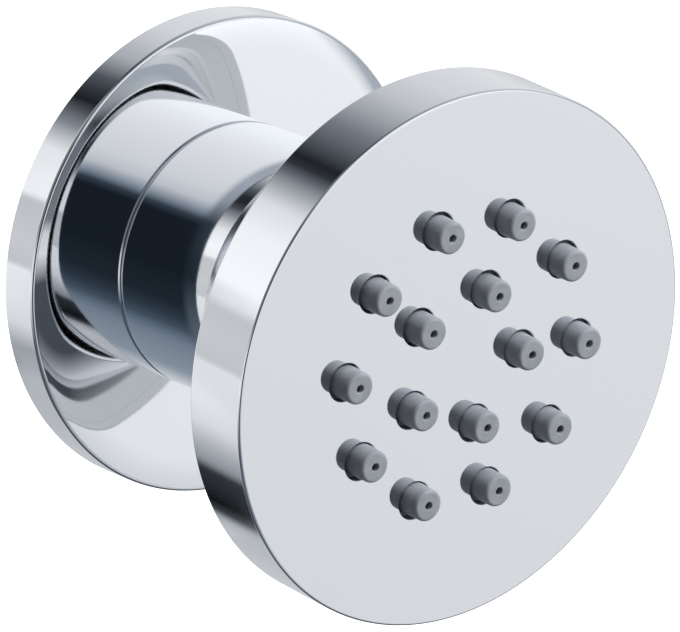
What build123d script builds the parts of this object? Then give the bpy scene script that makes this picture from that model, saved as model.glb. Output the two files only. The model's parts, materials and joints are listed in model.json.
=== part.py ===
from build123d import *
import math
import os

# Shower body jet: a round spray head that swivels on a ball stem, with a flange on the wall.
# Millimetres. The wall is the plane y = 0, the water leaves towards -Y, and +Z is up.
# Pieces of the head are drawn about the ball's centre, with +Y towards the wall, and then tilted.

# Pose of the head on its ball, in degrees
tilt_down = 3.5
swing_side = -1.0
turn = 3.1
tilt_limit = 8.0

# Spray face and its rim
face_dia = 60.0
face_plate = 1.2
rim_length = 8.4
rim_wall = 1.5
face_edge_round = 0.3
rim_back_round = 0.3
ball_to_face = 24.3

# Nozzles
outer_ring_dia = 31.9
outer_ring_count = 10
inner_ring_dia = 15.9
inner_ring_count = 5
nozzle_dia = 3.75
nozzle_draft = 0.1
nozzle_height = 2.35
nozzle_tip_round = 0.35
nozzle_gap = 0.25
nozzle_jet_dia = 0.9
nozzle_jet_length = 0.8
nozzle_feed_dia = 2.0
pad_base = 1.6
pad_shrink = 0.15

# Backing plate
backing_thickness = 2.0
backing_rib_width = 1.2
backing_rib_height = 1.5
backing_rib_dia = 42.0
backing_rib_count = 5

# Conical head body
cone_foot_margin = 4.4
cone_foot_round = 3.0
cone_wall = 2.0
cone_edge_wall = 0.4
cone_edge_round = 0.15
neck_pocket_depth = 5.5
disc_thickness = 1.8
skirt_wall = 3.2
pocket_floor = 2.0
socket_wall = 2.0
partition = 3.5
water_way_dia = 14.0

# Neck sleeve, which slides on the stem, grips it with a rubber ring and holds the flange to the wall
sleeve_wall = 0.9
sleeve_length = 18.2
sleeve_floor = 3.2
neck_seal_section = 1.6
sleeve_rear_round = 0.45
sleeve_front_round = 0.2

# Ball retainer, a ring that screws into the head behind the ball
retainer_wall = 0.9
retainer_reach = 10.0
retainer_lip = 1.7
retainer_catch = 0.5225
retainer_taper = 1.1
retainer_taper_start = 2.0

# Ball and its seats
ball_flat_depth = 1.9
ball_standoff = 16.0
seat_thickness = 0.7
seat_angle_margin = 1.2
rear_seat_end_angle = 84.0
front_seat_length = 8.5
front_seat_depth = 1.0
ball_seal_angle = 50.0
ball_seal_section = 1.7
seat_seal_section = 1.8
seat_seal_inset = 1.9
head_seal_section = 1.6

# Ball stem with a G 1/2 shank
thread_dia = 20.955
shank_length = 14.0
shank_chamfer = 1.0
land_relief = 0.2775
land_lead = 1.0
neck_dia = 14.0
bore_dia = 9.2
key_flats = 10.0
key_depth = 12.0
inlet_dia = 15.0
inlet_depth = 7.0

# Flow restrictor and strainer in the inlet
restrictor_length = 3.6
restrictor_hole_dia = 1.6
restrictor_hole_ring_dia = 7.0
restrictor_hole_count = 6
restrictor_seal_section = 1.3
mesh_thickness = 0.4
mesh_hole_dia = 0.9
mesh_pitch = 1.5
mesh_rings = 3
filter_ring_length = 1.6
filter_ring_wall = 1.4

# Wall flange
flange_dia = 54.0
flange_depth = 5.0
flange_wall = 1.2
flange_gap = 0.4
flange_crown_width = 4.2
flange_crown_drop = 0.21
flange_edge_round = 0.4
flange_hole_round = 0.3

# Flange insert and wall gasket
insert_floor = 1.4
insert_wall = 3.3
gasket_dia = 46.0
gasket_width = 4.0
gasket_thickness = 0.8

# Clearances, all radial
neck_gap = 0.5
retainer_gap = 1.0
swivel_clearance = 0.2
thread_clearance = 0.1
seat_clearance = 0.05

# Radii that follow from the sizes above: the joint grows outwards from the thread, which has to pass the lip
face_r = face_dia / 2
cup_inner_r = face_r - rim_wall
clamped_r = cup_inner_r - thread_clearance
nozzle_r = nozzle_dia / 2
hole_r = nozzle_r + nozzle_gap
thread_r = thread_dia / 2
land_r = thread_r - land_relief
inlet_r = inlet_dia / 2
lip_hole_r = thread_r + swivel_clearance
ball_r = lip_hole_r + retainer_catch
seat_inner_r = ball_r + swivel_clearance
seat_outer_r = seat_inner_r + seat_thickness
seat_seal_r = seat_outer_r - seat_seal_inset
recess_r = seat_outer_r + swivel_clearance
retainer_r = recess_r + retainer_wall
sleeve_inner_r = retainer_r + retainer_gap
sleeve_r = sleeve_inner_r + sleeve_wall
opening_r = sleeve_r + neck_gap
cone_edge_r = opening_r + cone_edge_wall
flange_r = flange_dia / 2
flange_inner_r = flange_r - flange_wall
flange_hole_r = thread_r + flange_gap

# Stations along the axis
ball_y = -(flange_depth + ball_standoff)
floor_y = -(flange_depth + sleeve_floor)
neck_seal_y = -(flange_depth + sleeve_floor / 2)
face_u = -ball_to_face
plate_u = face_u + face_plate
pad_u = plate_u + pad_base
backing_u = pad_u + backing_thickness
rim_back_u = face_u + rim_length
lip_u = math.sqrt(recess_r**2 - lip_hole_r**2)
front_seat_u = front_seat_depth - ball_r
seat_shoulder_u = front_seat_u - swivel_clearance - thread_clearance


def turned(*points):
    """Solid of revolution about Y from an outline of (radius, station) points."""
    return revolve(Polygon(*points, align=None), axis=Axis.Y)


def rod(radius, start, end):
    return turned((0, start), (radius, start), (radius, end), (0, end))


def tube(inner, outer, start, end):
    return turned((inner, start), (outer, start), (outer, end), (inner, end))


def o_ring(centre_r, section, station):
    return Pos(0, station, 0) * Rot(X=90) * Torus(centre_r, section / 2)


def rounded(profile, corner, radius):
    """Round the corner of a flat profile that lies nearest to a given point."""
    vertex = profile.vertices().sort_by_distance((corner[0], corner[1], 0))[0]
    return fillet(vertex, radius)


def on_ring(piece, ring_dia, count):
    """Copies of a piece on a circle about Y, the first one on +X."""
    copies = []
    for index in range(count):
        angle = math.radians(360 / count * index)
        copies.append(Pos(ring_dia / 2 * math.cos(angle), 0, ring_dia / 2 * math.sin(angle)) * piece)
    return copies


def on_both_rings(piece, inset=0.0):
    """Copies of a piece at every nozzle, moved towards the axis by the inset."""
    outer = on_ring(piece, outer_ring_dia - 2 * inset, outer_ring_count)
    inner = on_ring(piece, inner_ring_dia - 2 * inset, inner_ring_count)
    return outer + inner


# Pieces that stay on the wall

def ball_stem():
    shape = turned(
        (0, ball_y),
        (neck_dia / 2, ball_y),
        (neck_dia / 2, floor_y - land_lead),
        (land_r, floor_y - land_lead),
        (land_r, 0),
        (thread_r, 0),
        (thread_r, shank_length - shank_chamfer),
        (thread_r - shank_chamfer, shank_length),
        (0, shank_length),
    )
    shape += Pos(0, ball_y, 0) * Sphere(ball_r)
    flat_y = ball_y - ball_r + ball_flat_depth
    shape -= rod(2 * ball_r, ball_y - 2 * ball_r, flat_y)
    shape -= rod(bore_dia / 2, flat_y, shank_length)
    shape -= rod(inlet_r, shank_length - inlet_depth, shank_length)
    key = RegularPolygon(key_flats / 2, 6, major_radius=False)
    shape -= extrude(Plane((0, flat_y, 0), x_dir=(1, 0, 0), z_dir=(0, 1, 0)) * key, key_depth)
    return shape


def wall_flange():
    front = -flange_depth
    crown_start = (flange_r - flange_crown_width, front)
    crown_end = (flange_r, front + flange_crown_drop)
    pull = flange_crown_width / 3
    crown = Bezier(crown_start, (crown_start[0] + pull, front), (flange_r - pull, front), crown_end)
    rest = Polyline(
        crown_end,
        (flange_r, 0),
        (flange_inner_r, 0),
        (flange_inner_r, front + flange_wall),
        (flange_hole_r, front + flange_wall),
        (flange_hole_r, front),
        crown_start,
    )
    profile = make_face(Curve() + [crown, rest])
    profile = rounded(profile, crown_end, flange_edge_round)
    profile = rounded(profile, (flange_hole_r, front), flange_hole_round)
    return revolve(profile, axis=Axis.Y)


def neck_sleeve():
    front = -(flange_depth + sleeve_length)
    hole = thread_r + thread_clearance
    profile = Polygon(
        (sleeve_inner_r, front),
        (sleeve_r, front),
        (sleeve_r, -flange_depth),
        (hole, -flange_depth),
        (hole, floor_y),
        (sleeve_inner_r, floor_y),
        align=None,
    )
    profile = rounded(profile, (sleeve_r, -flange_depth), sleeve_rear_round)
    profile = rounded(profile, (sleeve_r, front), sleeve_front_round)
    groove_half = neck_seal_section / 2 + seat_clearance
    groove_r = land_r + neck_seal_section + seat_clearance
    groove = tube(land_r, groove_r, neck_seal_y - groove_half, neck_seal_y + groove_half)
    return revolve(profile, axis=Axis.Y) - groove


def neck_o_ring():
    return o_ring(land_r + neck_seal_section / 2, neck_seal_section, neck_seal_y)


def flange_insert():
    rim_r = flange_inner_r - seat_clearance
    plate_back = flange_wall - flange_depth
    shape = turned(
        (thread_r + thread_clearance, -insert_floor),
        (rim_r - insert_wall, -insert_floor),
        (rim_r - insert_wall, plate_back),
        (rim_r, plate_back),
        (rim_r, 0),
        (thread_r + thread_clearance, 0),
    )
    gasket_r = gasket_dia / 2
    groove_inner = gasket_r - gasket_width - thread_clearance
    shape -= tube(groove_inner, gasket_r + thread_clearance, -gasket_thickness, 0)
    return shape


def wall_gasket():
    gasket_r = gasket_dia / 2
    return tube(gasket_r - gasket_width, gasket_r, -gasket_thickness, 0)


# The stack in the inlet starts on the step of the bore
restrictor_y = shank_length - inlet_depth
mesh_y = restrictor_y + restrictor_length
filter_ring_y = mesh_y + mesh_thickness
inlet_piece_r = inlet_r - thread_clearance
restrictor_seal_r = inlet_piece_r - restrictor_seal_section / 2


def flow_restrictor():
    shape = rod(inlet_piece_r, restrictor_y, mesh_y)
    middle = restrictor_y + restrictor_length / 2
    groove_half = restrictor_seal_section / 2 + seat_clearance
    groove_floor = inlet_piece_r - restrictor_seal_section
    shape -= tube(groove_floor, inlet_r, middle - groove_half, middle + groove_half)
    hole = rod(restrictor_hole_dia / 2, restrictor_y, mesh_y)
    shape -= on_ring(hole, restrictor_hole_ring_dia, restrictor_hole_count)
    return shape


def restrictor_o_ring():
    middle = restrictor_y + restrictor_length / 2
    return o_ring(restrictor_seal_r, restrictor_seal_section, middle)


def filter_mesh():
    shape = rod(inlet_piece_r, mesh_y, filter_ring_y)
    hole = rod(mesh_hole_dia / 2, mesh_y, filter_ring_y)
    shape -= hole
    for ring in range(1, mesh_rings + 1):
        shape -= on_ring(hole, 2 * mesh_pitch * ring, 6 * ring)
    return shape


def filter_ring():
    inner = inlet_piece_r - filter_ring_wall
    return tube(inner, inlet_piece_r, filter_ring_y, filter_ring_y + filter_ring_length)


# Ball joint

def rear_seat_ring():
    lip_angle = math.degrees(math.asin(lip_hole_r / recess_r))
    start = math.radians(lip_angle + tilt_limit + seat_angle_margin)
    end = math.radians(rear_seat_end_angle)
    reach = 2 * seat_outer_r
    wedge = turned(
        (0, 0),
        (reach * math.sin(start), reach * math.cos(start)),
        (reach * math.sin(end), reach * math.cos(end)),
    )
    return (Sphere(seat_outer_r) - Sphere(seat_inner_r)) & wedge


# The seal lies in the seat cup and ends flush with the cup's hollow
ball_seal_reach = seat_inner_r + ball_seal_section / 2 - thread_clearance
ball_seal_r = ball_seal_reach * math.sin(math.radians(ball_seal_angle))
ball_seal_u = -ball_seal_reach * math.cos(math.radians(ball_seal_angle))


def front_seat_cup():
    shape = rod(seat_outer_r, front_seat_u, front_seat_u + front_seat_length)
    shape -= Sphere(seat_inner_r)
    shape -= rod(water_way_dia / 2, front_seat_u, 0)
    shape -= o_ring(ball_seal_r, ball_seal_section + 2 * seat_clearance, ball_seal_u)
    return shape


def ball_seal():
    return o_ring(ball_seal_r, ball_seal_section, ball_seal_u)


def ball_retainer():
    lip_end = lip_u + retainer_lip
    shape = turned(
        (recess_r, -retainer_reach),
        (retainer_r, -retainer_reach),
        (retainer_r, retainer_taper_start),
        (retainer_r - retainer_taper, lip_end),
        (lip_hole_r, lip_end),
        (lip_hole_r, 0),
        (recess_r, 0),
    )
    return shape - Sphere(recess_r)


# Head

def head_body():
    socket_r = retainer_r + thread_clearance
    foot_r = clamped_r - cone_foot_margin
    slope = (foot_r - cone_edge_r) / -rim_back_u
    hollow_edge_r = cone_edge_r - cone_wall * math.sqrt(1 + slope**2)
    ceiling_u = rim_back_u - disc_thickness
    ceiling_r = hollow_edge_r - slope * ceiling_u
    pocket_u = -(neck_pocket_depth + pocket_floor)
    pocket_r = hollow_edge_r - slope * pocket_u
    tube_r = socket_r + socket_wall
    seal_inner = clamped_r - head_seal_section - seat_clearance
    skirt_inner = clamped_r - skirt_wall
    groove_inner = seat_seal_r - seat_seal_section / 2 - seat_clearance
    groove_outer = seat_seal_r + seat_seal_section / 2 + seat_clearance
    groove_u = seat_shoulder_u + swivel_clearance - seat_seal_section
    profile = Polygon(
        (socket_r, -neck_pocket_depth),
        (opening_r, -neck_pocket_depth),
        (opening_r, 0),
        (cone_edge_r, 0),
        (foot_r, rim_back_u),
        (clamped_r, rim_back_u),
        (clamped_r, backing_u + head_seal_section),
        (seal_inner, backing_u + head_seal_section),
        (seal_inner, backing_u),
        (skirt_inner, backing_u),
        (skirt_inner, ceiling_u),
        (ceiling_r, ceiling_u),
        (pocket_r, pocket_u),
        (tube_r, pocket_u),
        (tube_r, seat_shoulder_u - partition),
        (water_way_dia / 2, seat_shoulder_u - partition),
        (water_way_dia / 2, seat_shoulder_u),
        (groove_inner, seat_shoulder_u),
        (groove_inner, groove_u),
        (groove_outer, groove_u),
        (groove_outer, seat_shoulder_u),
        (recess_r, seat_shoulder_u),
        (recess_r, -retainer_reach),
        (socket_r, -retainer_reach),
        align=None,
    )
    profile = rounded(profile, (cone_edge_r, 0), cone_edge_round)
    profile = rounded(profile, (foot_r, rim_back_u), cone_foot_round)
    return revolve(profile, axis=Axis.Y)


def seat_o_ring():
    station = seat_shoulder_u + swivel_clearance - seat_seal_section / 2
    return o_ring(seat_seal_r, seat_seal_section, station)


def head_o_ring():
    centre_r = clamped_r - head_seal_section / 2
    return o_ring(centre_r, head_seal_section, backing_u + head_seal_section / 2)


def face_cup():
    profile = Polygon(
        (0, face_u),
        (face_r, face_u),
        (face_r, rim_back_u),
        (cup_inner_r, rim_back_u),
        (cup_inner_r, plate_u),
        (0, plate_u),
        align=None,
    )
    profile = rounded(profile, (face_r, face_u), face_edge_round)
    profile = rounded(profile, (face_r, rim_back_u), rim_back_round)
    shape = revolve(profile, axis=Axis.Y)
    shape -= on_both_rings(rod(hole_r, face_u, plate_u))
    return shape


def nozzle_pad():
    tip_u = face_u - nozzle_height
    profile = Polygon(
        (0, tip_u),
        (nozzle_r - nozzle_draft, tip_u),
        (nozzle_r, plate_u),
        (0, plate_u),
        align=None,
    )
    profile = rounded(profile, (nozzle_r - nozzle_draft, tip_u), nozzle_tip_round)
    nozzle = revolve(profile, axis=Axis.Y)
    jet_u = tip_u + nozzle_jet_length
    feed_r = nozzle_feed_dia / 2
    channel = turned(
        (0, tip_u),
        (nozzle_jet_dia / 2, tip_u),
        (nozzle_jet_dia / 2, jet_u),
        (feed_r, jet_u + feed_r),
        (feed_r, pad_u),
        (0, pad_u),
    )
    shape = rod(clamped_r, plate_u, pad_u)
    shape += on_both_rings(nozzle, pad_shrink)
    shape -= on_both_rings(channel, pad_shrink)
    return shape


def backing_plate():
    shape = rod(clamped_r, pad_u, backing_u)
    rib_r = backing_rib_dia / 2
    rib_top = backing_u + backing_rib_height
    shape += tube(rib_r - backing_rib_width / 2, rib_r + backing_rib_width / 2, backing_u, rib_top)
    bar = Pos(rib_r / 2, (backing_u + rib_top) / 2, 0) * Box(rib_r, backing_rib_height, backing_rib_width)
    for index in range(backing_rib_count):
        shape += Rot(Y=360 / backing_rib_count * (index + 0.5)) * bar
    shape -= on_both_rings(rod(nozzle_feed_dia / 2, pad_u, rib_top), pad_shrink)
    return shape


# The seat ring follows the side swing, the seat cup the tilt as well, and the head also its own turn
ball_centre = Pos(0, ball_y, 0)
swung = ball_centre * Rot(Z=swing_side)
tilted = swung * Rot(X=tilt_down)
turned_head = tilted * Rot(Y=turn)

pieces = {
    "ball_stem": ball_stem(),
    "neck_sleeve": neck_sleeve(),
    "neck_o_ring": neck_o_ring(),
    "wall_flange": wall_flange(),
    "flange_insert": flange_insert(),
    "wall_gasket": wall_gasket(),
    "flow_restrictor": flow_restrictor(),
    "restrictor_o_ring": restrictor_o_ring(),
    "filter_mesh": filter_mesh(),
    "filter_ring": filter_ring(),
    "rear_seat_ring": swung * rear_seat_ring(),
    "front_seat_cup": tilted * front_seat_cup(),
    "ball_seal": tilted * ball_seal(),
    "ball_retainer": turned_head * ball_retainer(),
    "head_body": turned_head * head_body(),
    "seat_o_ring": turned_head * seat_o_ring(),
    "head_o_ring": turned_head * head_o_ring(),
    "face_cup": turned_head * face_cup(),
    "nozzle_pad": turned_head * nozzle_pad(),
    "backing_plate": turned_head * backing_plate(),
}

os.makedirs("parts", exist_ok=True)
for name, piece in pieces.items():
    export_step(piece, f"parts/{name}.step")
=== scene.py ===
import json
import math
import bpy
from mathutils import Matrix, Vector


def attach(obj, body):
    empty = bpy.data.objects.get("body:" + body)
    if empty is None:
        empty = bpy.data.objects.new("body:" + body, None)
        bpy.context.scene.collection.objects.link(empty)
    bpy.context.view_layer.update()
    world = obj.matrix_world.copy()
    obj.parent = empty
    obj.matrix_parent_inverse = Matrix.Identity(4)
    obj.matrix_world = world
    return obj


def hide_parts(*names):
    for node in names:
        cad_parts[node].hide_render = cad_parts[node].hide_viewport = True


# Shower body jet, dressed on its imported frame. Metres; the wall is y = 0, the water leaves towards -Y.
# Outlines of turned pieces are in millimetres, as (radius, station) along Y.

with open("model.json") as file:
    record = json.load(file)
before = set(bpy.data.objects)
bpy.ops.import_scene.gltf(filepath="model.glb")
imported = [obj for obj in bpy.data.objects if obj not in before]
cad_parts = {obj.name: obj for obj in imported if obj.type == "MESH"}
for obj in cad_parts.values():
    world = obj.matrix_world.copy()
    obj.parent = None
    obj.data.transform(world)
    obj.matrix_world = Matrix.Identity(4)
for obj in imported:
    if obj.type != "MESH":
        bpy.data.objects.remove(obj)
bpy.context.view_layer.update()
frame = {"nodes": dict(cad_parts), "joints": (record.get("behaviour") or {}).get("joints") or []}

MM = 0.001
SIDES = 256
ROUND_STEPS = 8
BESIDE_ROUND = 0.05
MERGE_REACH = 0.002
SMOOTH_ANGLE = math.radians(30)
CUT_PAST = 1.0

# Ball joint: the head's axis, from the record
turn_joint = next(joint for joint in frame["joints"] if joint["name"] == "head_turn")
BALL = Vector(turn_joint["pos_m"])
HEAD_AXIS = Vector(turn_joint["axis"]).normalized()
TILT = math.asin(HEAD_AXIS.z)
SWING = math.atan2(-HEAD_AXIS.x, HEAD_AXIS.y)
NOZZLE_TURN = math.radians(3.1)

# Spray face, millimetres from the ball's centre along the head
FACE_R = 30.0
FACE_U = -24.3
FACE_PLATE = 1.2
PLATE_U = FACE_U + FACE_PLATE
FACE_CAP_R = 4.0
RIM_WALL = 1.5
RIM_BACK_U = -15.9
RIM_ROUND = 0.3
CUP_INNER_R = FACE_R - RIM_WALL
RIM_THREAD_GAP = 0.1
CLAMPED_R = CUP_INNER_R - RIM_THREAD_GAP
SEAM = 0.02
SEAM_DEPTH = 1.0
SEAM_END = 1.2

# Soft nozzles
NOZZLE_R = 1.875
NOZZLE_DRAFT = 0.1
NOZZLE_HEIGHT = 2.35
NOZZLE_TIP_U = FACE_U - NOZZLE_HEIGHT
NOZZLE_TIP_ROUND = 0.35
NOZZLE_ROOT_U = PLATE_U + 0.4
NOZZLE_SIDES = 64
NOZZLE_GAP = 0.25
NOZZLE_HOLE_R = NOZZLE_R + NOZZLE_GAP
HOLE_EDGE = 0.08
HOLE_CORE_R = 0.2
HOLES_REACH = 20.0
JET_R = 0.45
JET_EDGE = 0.1
JET_LENGTH = 0.8
FEED_R = 1.0
FEED_CORE_R = 0.05
FEED_SIDES = 32
PAD_BASE = 1.6
PAD_U = PLATE_U + PAD_BASE
PAD_SHRINK = 0.15
NOZZLE_RINGS = ((31.9 / 2, 10), (15.9 / 2, 5))

# Cone behind the face, with the socket for the ball joint
CONE_FOOT_R = 24.0
CONE_FOOT_ROUND = 3.0
CONE_EDGE_R = 16.0
CONE_EDGE_WALL = 0.4
CONE_WALL = 2.0
CONE_DISC = 1.8
SKIRT_WALL = 3.2
BACKING_U = PAD_U + 2.0
HEAD_SEAL_LENGTH = 1.6
HEAD_SEAL_WIDTH = 1.65
NECK_POCKET_U = -5.5
POCKET_FLOOR = 2.0
POCKET_EDGE = 0.12
POCKET_SLACK = 0.01
POCKET_BELOW = 0.5
RECESS_R = 12.3
SOCKET_R = RECESS_R + 1.0
SOCKET_WALL = 2.0
SOCKET_END_U = -10.0
SHOULDER_U = -10.5
PARTITION = 3.5
WATER_WAY_R = 7.0
SEAT_GROOVE_INNER_R = 9.25
SEAT_GROOVE_OUTER_R = 11.15
SEAT_GROOVE_DEPTH = 1.6

# Wall flange
FLANGE_R = 27.0
FLANGE_FRONT = -5.0
FLANGE_WALL = 1.2
FLANGE_HOLE_R = 10.8775
CROWN_WIDTH = 4.2
CROWN_DROP = 0.21
CROWN_STEPS = 12

# Round neck: a sleeve on the stem that stands on the flange, with a groove for its rubber ring
NECK_R = 15.1
NECK_WALL = 0.9
NECK_FRONT = FLANGE_FRONT - 18.2
NECK_FLOOR = FLANGE_FRONT - 3.2
NECK_HOLE_R = 10.5775
NECK_GROOVE_R = 11.85
NECK_GROOVE_HALF = 0.85

# Stem and its G 1/2 thread
BALL_R = 11.2
BALL_FLAT = 9.3
BALL_STEPS = 40
STEM_NECK_R = 7.0
LAND_R = 10.2
LAND_START = NECK_FLOOR - 1.0
BORE_R = 4.6
BORE_RUN = 1.0
KEY_FLATS = 10.0
KEY_DEPTH = 12.0
INLET_R = 7.5
INLET_DEPTH = 7.0
SHANK_LENGTH = 14.0
THREAD_R = 20.955 / 2
THREAD_PITCH = 25.4 / 14
THREAD_DEPTH = 0.64 * THREAD_PITCH
THREAD_CORE_R = THREAD_R - THREAD_DEPTH
THREAD_CREST_HALF = 0.12 * THREAD_PITCH
THREAD_ROOT_HALF = 0.44 * THREAD_PITCH
THREAD_SUNK_R = THREAD_CORE_R - 0.3
THREAD_CHAMFER = 1.0
THREAD_START = 0.0
THREAD_LEAD = 0.3
THREAD_END = SHANK_LENGTH - 0.02
THREAD_STEPS = 50
THREAD_SIDES = 90


# Modelling moves

def put_down():
    """Nothing selected, object mode."""
    if bpy.context.object and bpy.context.object.mode != "OBJECT":
        bpy.ops.object.mode_set(mode="OBJECT")
    bpy.ops.object.select_all(action="DESELECT")


def pick_up(piece):
    put_down()
    piece.select_set(True)
    bpy.context.view_layer.objects.active = piece


def arc(centre, radius, start, end, steps):
    """Points on an arc of an outline, angles in degrees from the radius towards +Y."""
    points = []
    for step in range(steps + 1):
        angle = math.radians(start + (end - start) * step / steps)
        points.append((centre[0] + radius * math.cos(angle), centre[1] + radius * math.sin(angle)))
    return points


def eased(corners):
    """A closed outline with its corners rounded.

    A corner is (radius, station), or (radius, station, round) where it is rounded.
    """
    points = []
    count = len(corners)
    for index, corner in enumerate(corners):
        here = Vector(corner[:2])
        if len(corner) == 2:
            points.append(tuple(here))
            continue
        back = (Vector(corners[index - 1][:2]) - here).normalized()
        ahead = (Vector(corners[(index + 1) % count][:2]) - here).normalized()
        half = back.angle(ahead) / 2
        reach = corner[2] / math.tan(half)
        middle = here + (back + ahead).normalized() * corner[2] / math.sin(half)
        first = here + back * reach - middle
        last = here + ahead * reach - middle
        points.append(tuple(here + back * (reach + BESIDE_ROUND)))
        sweep = first.angle_signed(last)
        for step in range(ROUND_STEPS + 1):
            spoke = Matrix.Rotation(-sweep * step / ROUND_STEPS, 2) @ first
            points.append(tuple(middle + spoke))
        points.append(tuple(here + ahead * (reach + BESIDE_ROUND)))
    return points


def turned(name, outline, sides=SIDES, capped=False):
    """A turned piece: one ring is drawn, then extruded and resized from point to point.

    The outline runs back to its first ring; a capped one stops at its last ring, and both ends are filled.
    """
    put_down()
    radius, station = outline[0]
    quarter = (math.pi / 2, 0, 0)
    bpy.ops.mesh.primitive_circle_add(
        vertices=sides, radius=radius * MM, location=(0, station * MM, 0), rotation=quarter)
    piece = bpy.context.object
    piece.name = name
    bpy.ops.object.transform_apply()
    bpy.ops.object.mode_set(mode="EDIT")
    bpy.ops.mesh.select_all(action="SELECT")
    way_back = [] if capped else outline[:1]
    for next_radius, next_station in outline[1:] + way_back:
        move = (0, (next_station - station) * MM, 0)
        bpy.ops.mesh.extrude_edges_move(TRANSFORM_OT_translate={"value": move})
        grow = next_radius / radius
        bpy.ops.transform.resize(value=(grow, 1, grow), center_override=(0, next_station * MM, 0))
        radius, station = next_radius, next_station
    if capped:
        bpy.ops.mesh.select_all(action="SELECT")
        bpy.ops.mesh.fill_holes(sides=0)
    close_up()
    return piece


def close_up():
    """Merge the doubles and turn the faces outwards, then leave edit mode."""
    bpy.ops.mesh.select_all(action="SELECT")
    bpy.ops.mesh.remove_doubles(threshold=MERGE_REACH * MM)
    bpy.ops.mesh.normals_make_consistent(inside=False)
    bpy.ops.object.mode_set(mode="OBJECT")


def peg(name, radius, start, end, sides=SIDES):
    """A solid rod about Y, for cutting and joining."""
    put_down()
    bpy.ops.mesh.primitive_cylinder_add(
        vertices=sides, radius=radius * MM, depth=(end - start) * MM,
        location=(0, (start + end) / 2 * MM, 0), rotation=(math.pi / 2, 0, 0))
    bpy.ops.object.transform_apply()
    bpy.context.object.name = name
    return bpy.context.object


def copies_at_nozzles(master, inset=0.0):
    """The master copied to every nozzle of both rings and joined to one object; the master is used up."""
    parts = []
    for ring_r, count in NOZZLE_RINGS:
        for index in range(count):
            angle = 2 * math.pi * index / count
            pick_up(master)
            bpy.ops.object.duplicate()
            part = bpy.context.object
            part.location = Vector((math.cos(angle), 0, math.sin(angle))) * (ring_r - inset) * MM
            bpy.ops.object.transform_apply()
            parts.append(part)
    pick_up(master)
    bpy.ops.object.delete()
    for part in parts:
        part.select_set(True)
    bpy.context.view_layer.objects.active = parts[0]
    bpy.ops.object.join()
    return parts[0]


def joined(piece, other, operation):
    """Join, cut or keep what is common, with a boolean that is applied; the other object is used up."""
    pick_up(piece)
    modifier = piece.modifiers.new("work", "BOOLEAN")
    modifier.object = other
    modifier.operation = operation
    modifier.solver = "EXACT"
    bpy.ops.object.modifier_apply(modifier=modifier.name)
    pick_up(other)
    bpy.ops.object.delete()
    return piece


def set_on_head(piece, turn=0.0):
    """Move a piece from the ball's centre to the head's pose, and apply it."""
    pick_up(piece)
    lean = Matrix.Rotation(SWING, 4, "Z") @ Matrix.Rotation(TILT, 4, "X")
    piece.matrix_world = Matrix.Translation(BALL) @ lean @ Matrix.Rotation(turn, 4, "Y")
    bpy.ops.object.transform_apply()


def dress(piece, body, node, material):
    """Smooth a finished piece, give it its finish, and let it stand for its CAD node."""
    pick_up(piece)
    bpy.ops.object.shade_smooth_by_angle(angle=SMOOTH_ANGLE)
    piece.data.materials.clear()
    piece.data.materials.append(material)
    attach(piece, body)
    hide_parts(node)


def dull_and_shade(piece, hidden):
    """Give the hidden faces of a plated piece the thin plating, whose dark colour is partly painted shade.
    """
    piece.data.materials.append(dull_plate_and_shade)
    for index in hidden:
        piece.data.polygons[index].material_index = 1


# Finishes: how much of a texture's range is used
SPREAD_FROM = (0.3, 0.7)
TONES_AT = (0.35, 0.65)


def finish(name, color, roughness, metallic=0.0):
    """A new material: its node tree, its shader, and the object's coordinates."""
    material = bpy.data.materials.new(name)
    material.use_nodes = True
    tree = material.node_tree
    shader = tree.nodes["Principled BSDF"]
    shader.inputs["Base Color"].default_value = (*color, 1)
    shader.inputs["Roughness"].default_value = roughness
    shader.inputs["Metallic"].default_value = metallic
    place = tree.nodes.new("ShaderNodeTexCoord").outputs["Object"]
    return material, tree, shader, place


def noise(tree, place, scale, detail=3.0):
    node = tree.nodes.new("ShaderNodeTexNoise")
    node.inputs["Scale"].default_value = scale
    node.inputs["Detail"].default_value = detail
    tree.links.new(place, node.inputs["Vector"])
    return node.outputs["Fac"]


def spread(tree, value, low, high):
    """A texture's value spread from low to high."""
    node = tree.nodes.new("ShaderNodeMapRange")
    node.inputs["From Min"].default_value = SPREAD_FROM[0]
    node.inputs["From Max"].default_value = SPREAD_FROM[1]
    node.inputs["To Min"].default_value = low
    node.inputs["To Max"].default_value = high
    tree.links.new(value, node.inputs["Value"])
    return node.outputs["Result"]


def two_tones(tree, value, first, second):
    """A colour that runs from the first tone to the second with a texture's value."""
    node = tree.nodes.new("ShaderNodeValToRGB")
    for element, position, tone in zip(node.color_ramp.elements, TONES_AT, (first, second)):
        element.position = position
        element.color = (*tone, 1)
    tree.links.new(value, node.inputs["Fac"])
    return node.outputs["Color"]


def bump(tree, shader, height, depth):
    """Relief of a given depth in metres."""
    node = tree.nodes.new("ShaderNodeBump")
    node.inputs["Strength"].default_value = 1.0
    node.inputs["Distance"].default_value = depth
    tree.links.new(height, node.inputs["Height"])
    tree.links.new(node.outputs["Normal"], shader.inputs["Normal"])


def chrome_plate():
    material, tree, shader, place = finish("chrome_plate", (0.86, 0.87, 0.89), 0.04, 1.0)
    smears = spread(tree, noise(tree, place, 55.0), 0.02, 0.06)
    tree.links.new(smears, shader.inputs["Roughness"])
    bump(tree, shader, noise(tree, place, 160.0, 1.0), 0.000002)
    return material


def thin_plate_and_shade():
    """The unpolished plating inside the head, where the bath throws little chrome; its dark colour is
    partly painted shade for the pocket and the nozzle holes.
    """
    material, tree, shader, place = finish("thin_plate_and_shade", (0.3, 0.33, 0.37), 0.55, 0.6)
    bloom = noise(tree, place, 420.0)
    tone = two_tones(tree, bloom, (0.24, 0.27, 0.31), (0.34, 0.37, 0.4))
    tree.links.new(tone, shader.inputs["Base Color"])
    tree.links.new(spread(tree, bloom, 0.48, 0.62), shader.inputs["Roughness"])
    return material


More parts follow.
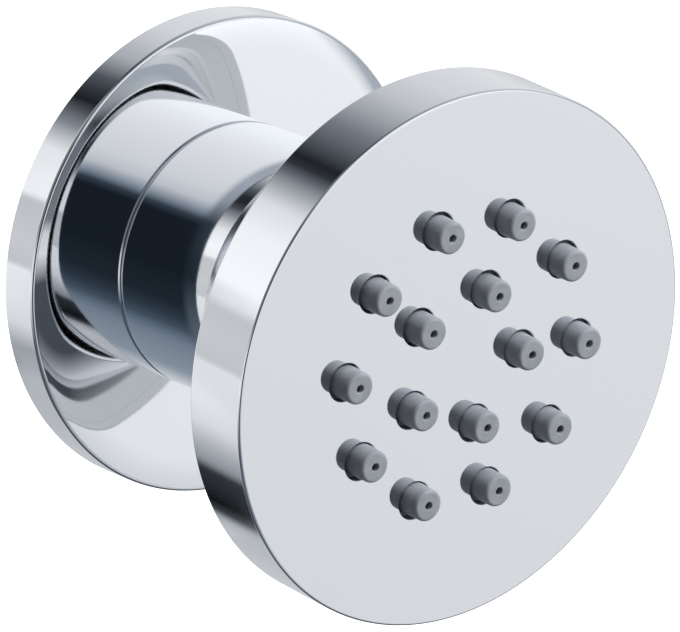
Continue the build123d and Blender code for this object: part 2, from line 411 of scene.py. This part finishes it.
def turned_brass():
    material, tree, shader, place = finish("turned_brass", (0.72, 0.55, 0.28), 0.3, 1.0)
    marks = tree.nodes.new("ShaderNodeTexWave")
    marks.bands_direction = "Y"
    marks.inputs["Scale"].default_value = 1600.0
    marks.inputs["Distortion"].default_value = 1.5
    marks.inputs["Detail"].default_value = 2.0
    tree.links.new(place, marks.inputs["Vector"])
    tarnish = noise(tree, place, 180.0)
    tone = two_tones(tree, tarnish, (0.6, 0.44, 0.2), (0.76, 0.59, 0.31))
    tree.links.new(tone, shader.inputs["Base Color"])
    tree.links.new(spread(tree, tarnish, 0.36, 0.22), shader.inputs["Roughness"])
    bump(tree, shader, marks.outputs["Fac"], 0.000008)
    return material


def soft_silicone():
    material, tree, shader, place = finish("soft_silicone", (0.33, 0.35, 0.38), 0.5)
    shader.inputs["Subsurface Weight"].default_value = 0.15
    shader.inputs["Subsurface Radius"].default_value = (0.0004, 0.0004, 0.0004)
    mottle = noise(tree, place, 700.0)
    tone = two_tones(tree, mottle, (0.30, 0.325, 0.36), (0.36, 0.385, 0.425))
    tree.links.new(tone, shader.inputs["Base Color"])
    tree.links.new(spread(tree, mottle, 0.42, 0.56), shader.inputs["Roughness"])
    bump(tree, shader, noise(tree, place, 6000.0), 0.000006)
    return material


def moulded(name, color, lighter, low, high, grain=0.00001):
    """Moulded plastic with a fine spark-eroded grain."""
    material, tree, shader, place = finish(name, color, low)
    cloud = noise(tree, place, 260.0)
    tree.links.new(two_tones(tree, cloud, color, lighter), shader.inputs["Base Color"])
    tree.links.new(spread(tree, cloud, low, high), shader.inputs["Roughness"])
    bump(tree, shader, noise(tree, place, 5200.0), grain)
    return material


def etched_steel():
    material, tree, shader, place = finish("etched_steel", (0.62, 0.63, 0.65), 0.3, 1.0)
    tree.links.new(spread(tree, noise(tree, place, 900.0), 0.24, 0.42), shader.inputs["Roughness"])
    bump(tree, shader, noise(tree, place, 7000.0), 0.000006)
    return material


def closed_cell_foam():
    material, tree, shader, place = finish("closed_cell_foam", (0.06, 0.06, 0.062), 0.9)
    cells = tree.nodes.new("ShaderNodeTexVoronoi")
    cells.inputs["Scale"].default_value = 2600.0
    tree.links.new(place, cells.inputs["Vector"])
    tone = two_tones(tree, cells.outputs["Distance"], (0.10, 0.10, 0.102), (0.045, 0.045, 0.047))
    tree.links.new(tone, shader.inputs["Base Color"])
    tree.links.new(spread(tree, cells.outputs["Distance"], 0.82, 0.95), shader.inputs["Roughness"])
    bump(tree, shader, cells.outputs["Distance"], 0.00012)
    return material


chrome = chrome_plate()
# Thin dull plating, whose dark colour is partly painted shade in the head's pocket and nozzle holes
dull_plate_and_shade = thin_plate_and_shade()
brass = turned_brass()
silicone = soft_silicone()
black_plastic = moulded("black_plastic", (0.026, 0.026, 0.028), (0.036, 0.036, 0.038), 0.5, 0.62)
white_plastic = moulded("white_plastic", (0.8, 0.8, 0.76), (0.84, 0.84, 0.81), 0.3, 0.42, 0.000004)
green_plastic = moulded("green_plastic", (0.08, 0.38, 0.17), (0.12, 0.45, 0.22), 0.22, 0.34, 0.000004)
black_rubber = moulded("black_rubber", (0.016, 0.016, 0.016), (0.026, 0.026, 0.026), 0.55, 0.7, 0.000006)
steel = etched_steel()
foam = closed_cell_foam()


# Pieces on the wall

def flange_shell():
    crown = []
    crown_start = FLANGE_R - CROWN_WIDTH
    for step in range(CROWN_STEPS):
        share = step / CROWN_STEPS
        crown.append((crown_start + CROWN_WIDTH * share, FLANGE_FRONT + CROWN_DROP * share ** 3))
    shell = turned("flange_shell", eased([
        (FLANGE_HOLE_R, FLANGE_FRONT + FLANGE_WALL),
        (FLANGE_HOLE_R, FLANGE_FRONT, 0.3),
        (crown_start - BESIDE_ROUND, FLANGE_FRONT),
        *crown,
        (FLANGE_R, FLANGE_FRONT + CROWN_DROP, 0.4),
        (FLANGE_R, 0, 0.15),
        (FLANGE_R - FLANGE_WALL, 0, 0.1),
        (FLANGE_R - FLANGE_WALL, FLANGE_FRONT + FLANGE_WALL, 0.3),
    ]))
    dress(shell, "wall_side", "wall_flange", chrome)


def round_neck():
    groove_y = (FLANGE_FRONT + NECK_FLOOR) / 2
    neck = turned("round_neck", eased([
        (NECK_R - NECK_WALL, NECK_FRONT, 0.1),
        (NECK_R, NECK_FRONT, 0.2),
        (NECK_R, FLANGE_FRONT, 0.45),
        (NECK_HOLE_R, FLANGE_FRONT, 0.15),
        (NECK_HOLE_R, groove_y + NECK_GROOVE_HALF),
        (NECK_GROOVE_R, groove_y + NECK_GROOVE_HALF),
        (NECK_GROOVE_R, groove_y - NECK_GROOVE_HALF),
        (NECK_HOLE_R, groove_y - NECK_GROOVE_HALF),
        (NECK_HOLE_R, NECK_FLOOR, 0.15),
        (NECK_R - NECK_WALL, NECK_FLOOR, 0.3),
    ]))
    dress(neck, "wall_side", "neck_sleeve", chrome)


def threaded_stem():
    ball_y = BALL.y / MM
    flat_r = math.sqrt(BALL_R ** 2 - BALL_FLAT ** 2)
    flat_angle = math.degrees(math.atan2(-BALL_FLAT, flat_r))
    neck_angle = math.degrees(math.acos(STEM_NECK_R / BALL_R))
    inlet_y = SHANK_LENGTH - INLET_DEPTH
    stem = turned("threaded_stem", [
        (BORE_R, ball_y - BALL_FLAT),
        *arc((0, ball_y), BALL_R, flat_angle, neck_angle, BALL_STEPS),
        *eased([
            (STEM_NECK_R, ball_y + BALL_R),
            (STEM_NECK_R, LAND_START, 0.3),
            (LAND_R, LAND_START, 0.4),
            (LAND_R, THREAD_START, 0.2),
            (THREAD_CORE_R, THREAD_START, 0.2),
            (THREAD_CORE_R, SHANK_LENGTH, 0.2),
            (INLET_R, SHANK_LENGTH, 0.25),
            (INLET_R, inlet_y),
            (BORE_R, inlet_y, 0.2),
            (BORE_R, inlet_y - BORE_RUN),
        ]),
    ])
    put_down()
    key_y = ball_y - BALL_FLAT
    bpy.ops.mesh.primitive_cylinder_add(
        vertices=6, radius=KEY_FLATS / math.sqrt(3) * MM, depth=2 * KEY_DEPTH * MM,
        location=(0, key_y * MM, 0), rotation=(math.pi / 2, 0, 0))
    bpy.ops.object.transform_apply()
    joined(stem, bpy.context.object, "DIFFERENCE")
    joined(stem, thread_ridge(), "UNION")
    dress(stem, "wall_side", "ball_stem", brass)


def thread_ridge():
    """The thread's ridge: its profile swept up a helix by a screw, then trimmed to the shank's envelope."""
    put_down()
    turns = math.ceil((SHANK_LENGTH - THREAD_START) / THREAD_PITCH) + 1
    bpy.ops.mesh.primitive_plane_add(size=1)
    ridge = bpy.context.object
    bpy.ops.object.mode_set(mode="EDIT")
    bpy.ops.mesh.delete(type="ONLY_FACE")
    bpy.ops.object.mode_set(mode="OBJECT")
    corners = (
        (THREAD_SUNK_R, -THREAD_ROOT_HALF),
        (THREAD_R, -THREAD_CREST_HALF),
        (THREAD_R, THREAD_CREST_HALF),
        (THREAD_SUNK_R, THREAD_ROOT_HALF),
    )
    ring = sorted(ridge.data.vertices, key=lambda vertex: math.atan2(vertex.co.y, vertex.co.x))
    for vertex, (radius, station) in zip(ring, corners):
        vertex.co = (radius * MM, (station + THREAD_START - THREAD_PITCH) * MM, 0)
    screw = ridge.modifiers.new("screw", "SCREW")
    screw.axis = "Y"
    screw.angle = 2 * math.pi * turns
    screw.screw_offset = THREAD_PITCH * turns * MM
    screw.steps = THREAD_STEPS * turns
    screw.render_steps = THREAD_STEPS * turns
    pick_up(ridge)
    bpy.ops.object.modifier_apply(modifier=screw.name)
    bpy.ops.object.mode_set(mode="EDIT")
    bpy.ops.mesh.select_all(action="DESELECT")
    bpy.ops.mesh.select_non_manifold()
    bpy.ops.mesh.fill_holes(sides=4)
    close_up()
    envelope = turned("envelope", [
        (THREAD_SUNK_R - CUT_PAST, THREAD_START + THREAD_LEAD),
        (THREAD_R - THREAD_CHAMFER, THREAD_START + THREAD_LEAD),
        (THREAD_R, THREAD_START + THREAD_CHAMFER),
        (THREAD_R, SHANK_LENGTH - THREAD_CHAMFER),
        (THREAD_R - THREAD_CHAMFER, THREAD_END),
        (THREAD_SUNK_R - CUT_PAST, THREAD_END),
    ], THREAD_SIDES)
    return joined(ridge, envelope, "INTERSECT")


# Pieces on the head

def cone_body():
    slope = (CONE_FOOT_R - CONE_EDGE_R) / -RIM_BACK_U
    hollow_edge_r = CONE_EDGE_R - CONE_WALL * math.sqrt(1 + slope ** 2)
    ceiling_u = RIM_BACK_U - CONE_DISC
    ceiling_r = hollow_edge_r - slope * ceiling_u
    pocket_u = NECK_POCKET_U - POCKET_FLOOR
    pocket_r = hollow_edge_r - slope * pocket_u
    tube_r = SOCKET_R + SOCKET_WALL
    opening_r = CONE_EDGE_R - CONE_EDGE_WALL
    seal_u = BACKING_U + HEAD_SEAL_LENGTH
    partition_u = SHOULDER_U - PARTITION
    groove_u = SHOULDER_U - SEAT_GROOVE_DEPTH
    cone = turned("cone_body", eased([
        (SOCKET_R, NECK_POCKET_U, 0.2),
        (opening_r, NECK_POCKET_U, 0.4),
        (opening_r, 0, 0.1),
        (CONE_EDGE_R, 0, 0.15),
        (CONE_FOOT_R, RIM_BACK_U, CONE_FOOT_ROUND),
        (CUP_INNER_R - SEAM, RIM_BACK_U),
        (CUP_INNER_R - SEAM, RIM_BACK_U - SEAM_DEPTH),
        (CLAMPED_R, RIM_BACK_U - SEAM_END),
        (CLAMPED_R, seal_u),
        (CLAMPED_R - HEAD_SEAL_WIDTH, seal_u),
        (CLAMPED_R - HEAD_SEAL_WIDTH, BACKING_U),
        (CLAMPED_R - SKIRT_WALL, BACKING_U),
        (CLAMPED_R - SKIRT_WALL, ceiling_u),
        (ceiling_r, ceiling_u),
        (pocket_r, pocket_u),
        (tube_r, pocket_u),
        (tube_r, partition_u),
        (WATER_WAY_R, partition_u),
        (WATER_WAY_R, SHOULDER_U),
        (SEAT_GROOVE_INNER_R, SHOULDER_U),
        (SEAT_GROOVE_INNER_R, groove_u),
        (SEAT_GROOVE_OUTER_R, groove_u),
        (SEAT_GROOVE_OUTER_R, SHOULDER_U),
        (RECESS_R, SHOULDER_U),
        (RECESS_R, SOCKET_END_U),
        (SOCKET_R, SOCKET_END_U),
    ]))
    # The pocket's faces take the thin plating, dark partly as painted shade where the neck runs in
    hidden = [face.index for face in cone.data.polygons if in_pocket(face.center / MM, opening_r)]
    set_on_head(cone)
    dress(cone, "head", "head_body", chrome)
    dull_and_shade(cone, hidden)


def in_pocket(place, opening_r):
    """Whether a face of the cone lies in the pocket that the neck runs into."""
    inside = math.hypot(place.x, place.z) < opening_r + POCKET_SLACK
    return inside and NECK_POCKET_U - POCKET_BELOW < place.y < -POCKET_EDGE


def spray_face():
    cup = turned("spray_face", eased([
        (FACE_CAP_R, FACE_U),
        (FACE_R, FACE_U, RIM_ROUND),
        (FACE_R, RIM_BACK_U, RIM_ROUND),
        (CUP_INNER_R, RIM_BACK_U),
        (CUP_INNER_R, PLATE_U),
        (FACE_CAP_R, PLATE_U),
    ]), capped=True)
    cutter = turned("cutter", [
        (HOLE_CORE_R, FACE_U - CUT_PAST),
        (NOZZLE_HOLE_R + HOLE_EDGE + CUT_PAST, FACE_U - CUT_PAST),
        (NOZZLE_HOLE_R, FACE_U + HOLE_EDGE),
        (NOZZLE_HOLE_R, PLATE_U + CUT_PAST),
        (HOLE_CORE_R, PLATE_U + CUT_PAST),
    ], NOZZLE_SIDES)
    joined(cup, copies_at_nozzles(cutter), "DIFFERENCE")
    # The hole walls take the thin plating, dark partly as painted shade in the gap round each nozzle
    hidden = [face.index for face in cup.data.polygons if in_hole(face)]
    set_on_head(cup, NOZZLE_TURN)
    dress(cup, "head", "face_cup", chrome)
    dull_and_shade(cup, hidden)


def in_hole(face):
    """Whether a face of the spray face is the wall of a nozzle hole."""
    return abs(face.normal.y) < 0.5 and math.hypot(face.center.x, face.center.z) < HOLES_REACH * MM


def soft_nozzles():
    pad = peg("soft_nozzles", CLAMPED_R, PLATE_U, PAD_U)
    nozzle = turned("nozzle", eased([
        (JET_R, NOZZLE_ROOT_U),
        (JET_R, NOZZLE_TIP_U, JET_EDGE),
        (NOZZLE_R - NOZZLE_DRAFT, NOZZLE_TIP_U, NOZZLE_TIP_ROUND),
        (NOZZLE_R, NOZZLE_ROOT_U),
    ]), NOZZLE_SIDES)
    joined(pad, copies_at_nozzles(nozzle, PAD_SHRINK), "UNION")
    jet_end_u = NOZZLE_TIP_U + JET_LENGTH
    channel = turned("channel", [
        (FEED_CORE_R, jet_end_u),
        (JET_R, jet_end_u),
        (FEED_R, jet_end_u + FEED_R),
        (FEED_R, PAD_U + CUT_PAST),
        (FEED_CORE_R, PAD_U + CUT_PAST),
    ], FEED_SIDES)
    joined(pad, copies_at_nozzles(channel, PAD_SHRINK), "DIFFERENCE")
    set_on_head(pad, NOZZLE_TURN)
    dress(pad, "head", "nozzle_pad", silicone)


flange_shell()
round_neck()
threaded_stem()
cone_body()
spray_face()
soft_nozzles()

KEPT_NODES = {
    "ball_retainer": brass,
    "neck_o_ring": black_rubber,
    "flange_insert": black_plastic,
    "backing_plate": black_plastic,
    "wall_gasket": foam,
    "flow_restrictor": green_plastic,
    "filter_mesh": steel,
    "rear_seat_ring": white_plastic,
    "front_seat_cup": white_plastic,
    "restrictor_o_ring": black_rubber,
    "filter_ring": black_rubber,
    "ball_seal": black_rubber,
    "seat_o_ring": black_rubber,
    "head_o_ring": black_rubber,
}
for node, material in KEPT_NODES.items():
    frame["nodes"][node].data.materials.clear()
    frame["nodes"][node].data.materials.append(material)


# Studio, as the chrome mirrors it: tones in linear light by the angle round the jet's axis, from +X over
# the top. One ring of tones follows the next as the direction turns from the front (-Y) to the wall (+Y).
FRONT_STUDIO = (
    (-180, 0.018), (-152, 0.03), (-140, 0.06), (-131, 0.11), (-124, 0.2), (-115, 0.29), (-99, 0.34),
    (-80, 0.38), (-55, 0.68), (-34, 0.83), (-27, 0.95), (-10, 1.15), (20, 1.15), (60, 0.98), (103, 0.84),
    (116, 0.72), (125, 0.37), (132, 0.07), (138, 0.018), (180, 0.018),
)
BESIDE_STUDIO = (
    (-180, 0.03), (-127, 0.18), (-55, 0.68), (-30, 0.86), (-20, 0.5), (90, 0.5), (112, 0.4), (134, 0.05),
    (180, 0.03),
)
EDGE_STUDIO = (
    (-180, 0.8), (-166, 0.9), (-145, 0.1), (-60, 0.08), (-20, 0.45), (25, 0.9), (60, 0.5), (95, 0.06),
    (112, 0.2), (170, 0.25), (180, 0.8),
)
BACK_STUDIO = (
    (-180, 0.62), (-168, 0.62), (-166, 1.0), (-150, 0.95), (-139, 0.82), (-129, 0.52), (-122, 0.26),
    (-117, 0.04), (-101, 0.014), (-98, 0.64), (-20, 0.62), (8, 0.82), (40, 0.74), (56, 0.62), (68, 0.44),
    (80, 0.23), (94, 0.08), (100, 0.018), (104, 0.04), (108, 0.15), (115, 0.45), (123, 0.84), (136, 1.02),
    (158, 1.1), (166, 1.02), (170, 0.64), (180, 0.62),
)
RIM_STUDIO = (
    (-180, 0.68), (-168, 0.64), (-166, 0.85), (-150, 0.82), (-139, 0.78), (-126, 0.4), (-110, 0.55),
    (-80, 0.55), (-60, 0.6), (-20, 0.62), (8, 0.85), (50, 0.76), (64, 0.66), (78, 0.48), (92, 0.11),
    (100, 0.03), (107, 0.014), (113, 0.05), (121, 0.28), (135, 0.9), (149, 1.08), (158, 1.0), (161, 0.62),
    (180, 0.68),
)
LOW_STUDIO = (
    (-180, 0.68), (-168, 0.64), (-166, 0.95), (-150, 0.92), (-139, 0.8), (-129, 0.52), (-120, 0.34),
    (-115, 0.04), (-97, 0.008), (-91, 0.06), (-85, 0.5), (-76, 0.66), (-20, 0.62), (78, 0.48), (92, 0.11),
    (107, 0.014), (121, 0.28), (135, 0.9), (158, 1.0), (161, 0.62), (180, 0.68),
)
FRONT_BLUE = 0.45
BACK_BLUE = 0.2

# Where one ring gives way to the next, as the direction's Y
FRONT_TO_BESIDE = (-0.725, -0.675)
BESIDE_TO_EDGE = (-0.5, -0.3)
EDGE_TO_BACK = (0.5, 0.65)
BACK_TO_RIM = (0.725, 0.745)
RIM_TO_LOW = (0.756, 0.761)
TO_AXIS = (0.84, 0.97)
AXIS_TONE = 0.85

# Soft light on what isn't chrome, which falls from the +X side
LIT_SIDE = (-0.7, 0.8)
LIT_TONE = 0.95
UNLIT_TONE = 0.06


def studio():
    world = bpy.data.worlds.new("studio")
    bpy.context.scene.world = world
    world.use_nodes = True
    tree = world.node_tree
    background = tree.nodes["Background"]
    way = tree.nodes.new("ShaderNodeTexCoord").outputs["Generated"]
    split = tree.nodes.new("ShaderNodeSeparateXYZ")
    tree.links.new(way, split.inputs["Vector"])
    around = tree.nodes.new("ShaderNodeMath")
    around.operation = "ARCTAN2"
    tree.links.new(split.outputs["Z"], around.inputs[0])
    tree.links.new(split.outputs["X"], around.inputs[1])
    angle = ranged(tree, around.outputs["Value"], -math.pi, math.pi)
    front = tones(tree, angle, FRONT_STUDIO, FRONT_BLUE)
    beside = tones(tree, angle, BESIDE_STUDIO, FRONT_BLUE)
    edge = tones(tree, angle, EDGE_STUDIO, BACK_BLUE)
    back = tones(tree, angle, BACK_STUDIO, BACK_BLUE)
    rim = tones(tree, angle, RIM_STUDIO, BACK_BLUE)
    low = tones(tree, angle, LOW_STUDIO, BACK_BLUE)
    to_wall = split.outputs["Y"]
    ahead = mixed(tree, ranged(tree, to_wall, *FRONT_TO_BESIDE), front, beside)
    across = mixed(tree, ranged(tree, to_wall, *BESIDE_TO_EDGE), ahead, edge)
    behind = mixed(tree, ranged(tree, to_wall, *EDGE_TO_BACK), across, back)
    past_rim = mixed(tree, ranged(tree, to_wall, *BACK_TO_RIM), behind, rim)
    sides = mixed(tree, ranged(tree, to_wall, *RIM_TO_LOW), past_rim, low)
    depth = tree.nodes.new("ShaderNodeMath")
    depth.operation = "ABSOLUTE"
    tree.links.new(to_wall, depth.inputs[0])
    near_axis = ranged(tree, depth.outputs["Value"], *TO_AXIS)
    seen_in_chrome = mixed(tree, near_axis, sides, plain(tree, AXIS_TONE))
    lit = ranged(tree, split.outputs["X"], *LIT_SIDE)
    soft_light = mixed(tree, lit, plain(tree, UNLIT_TONE), plain(tree, LIT_TONE))
    path = tree.nodes.new("ShaderNodeLightPath")
    light = mixed(tree, path.outputs["Is Glossy Ray"], soft_light, seen_in_chrome)
    seen = mixed(tree, path.outputs["Is Camera Ray"], light, plain(tree, 1.0))
    tree.links.new(seen, background.inputs["Color"])


def plain(tree, tone):
    node = tree.nodes.new("ShaderNodeRGB")
    node.outputs["Color"].default_value = (tone, tone, tone, 1)
    return node.outputs["Color"]


def ranged(tree, value, low, high, least=0.0):
    """A value that runs from the least one to 1 between low and high."""
    node = tree.nodes.new("ShaderNodeMapRange")
    node.inputs["From Min"].default_value = low
    node.inputs["From Max"].default_value = high
    node.inputs["To Min"].default_value = least
    tree.links.new(value, node.inputs["Value"])
    return node.outputs["Result"]


def tones(tree, angle, stops, blue):
    """Tones round the jet's axis; the darker a tone, the more blue it takes."""
    node = tree.nodes.new("ShaderNodeValToRGB")
    ramp = node.color_ramp
    while len(ramp.elements) < len(stops):
        ramp.elements.new(0.5)
    for element, (degrees, _) in zip(ramp.elements, stops):
        element.position = (degrees + 180) / 360
    for element, (_, tone) in zip(ramp.elements, stops):
        cool = blue * (1 - tone) ** 2
        element.color = (tone * (0.97 - cool), tone * (0.985 - cool / 3), tone * (1 + cool / 2), 1)
    tree.links.new(angle, node.inputs["Fac"])
    return node.outputs["Color"]


def mixed(tree, share, first, second):
    """The first colour, with a share of the second; the numbers are the node's colour sockets."""
    node = tree.nodes.new("ShaderNodeMix")
    node.data_type = "RGBA"
    tree.links.new(share, node.inputs["Factor"])
    tree.links.new(first, node.inputs[6])
    tree.links.new(second, node.inputs[7])
    return node.outputs[2]


# Floor: near the jet it takes the shadow, further out it fades to white
FLOOR_SIZE = 4
FLOOR_Z = -0.12
NEAR_FILL = 0.45
FILL_STARTS = 0.15
FILL_ENDS = 0.4


def floor():
    """A plain pale floor below the jet, which only the camera sees."""
    put_down()
    bpy.ops.mesh.primitive_plane_add(size=FLOOR_SIZE, location=(0, 0, FLOOR_Z))
    ground = bpy.context.object
    ground.name = "floor"
    bpy.ops.object.transform_apply()
    material, tree, shader, place = finish("pale_floor", (0.8, 0.8, 0.8), 0.9)
    shader.inputs["Emission Color"].default_value = (1, 1, 1, 1)
    reach = tree.nodes.new("ShaderNodeVectorMath")
    reach.operation = "LENGTH"
    tree.links.new(place, reach.inputs[0])
    fill = ranged(tree, reach.outputs["Value"], FILL_STARTS, FILL_ENDS, NEAR_FILL)
    path = tree.nodes.new("ShaderNodeLightPath")
    glow = tree.nodes.new("ShaderNodeMath")
    glow.operation = "MULTIPLY"
    tree.links.new(path.outputs["Is Camera Ray"], glow.inputs[0])
    tree.links.new(fill, glow.inputs[1])
    tree.links.new(glow.outputs["Value"], shader.inputs["Emission Strength"])
    ground.data.materials.append(material)
    ground.visible_glossy = False
    ground.visible_diffuse = False


# One soft lamp, from the upper right in front
KEY_PLACE = (0.45, -0.55, 0.75)
KEY_SIZE = 0.5
KEY_WATTS = 10.0


def lamp():
    put_down()
    bpy.ops.object.light_add(type="AREA", location=KEY_PLACE)
    key = bpy.context.object
    key.name = "key_light"
    key.data.shape = "DISK"
    key.data.size = KEY_SIZE
    key.data.energy = KEY_WATTS
    key.visible_glossy = False
    key.rotation_euler = (-key.location).to_track_quat("-Z", "Y").to_euler()


# Camera: where the photo was taken from, aimed at the middle of its frame
CAMERA_SIDE = math.radians(-40.52)
CAMERA_HEIGHT = math.radians(18.81)
CAMERA_DISTANCE = 0.7966
CAMERA_LENS = 397.2
FRAME_MIDDLE = (-0.01302, 0.00457)


def camera():
    face_centre = BALL + HEAD_AXIS * FACE_U * MM
    back = Vector((
        math.sin(CAMERA_SIDE) * math.cos(CAMERA_HEIGHT),
        -math.cos(CAMERA_SIDE) * math.cos(CAMERA_HEIGHT),
        math.sin(CAMERA_HEIGHT),
    ))
    right = Vector((math.cos(CAMERA_SIDE), math.sin(CAMERA_SIDE), 0))
    up = back.cross(right)
    middle = face_centre + right * FRAME_MIDDLE[0] + up * FRAME_MIDDLE[1]
    place = face_centre + back * CAMERA_DISTANCE
    put_down()
    bpy.ops.object.camera_add(location=place)
    eye = bpy.context.object
    eye.rotation_euler = (middle - place).to_track_quat("-Z", "Y").to_euler()
    eye.data.lens = CAMERA_LENS
    eye.data.sensor_width = 36
    eye.data.sensor_fit = "HORIZONTAL"
    eye.data.clip_start = 0.01
    bpy.context.scene.camera = eye


studio()
floor()
lamp()
camera()
bpy.context.scene.view_settings.view_transform = "Standard"
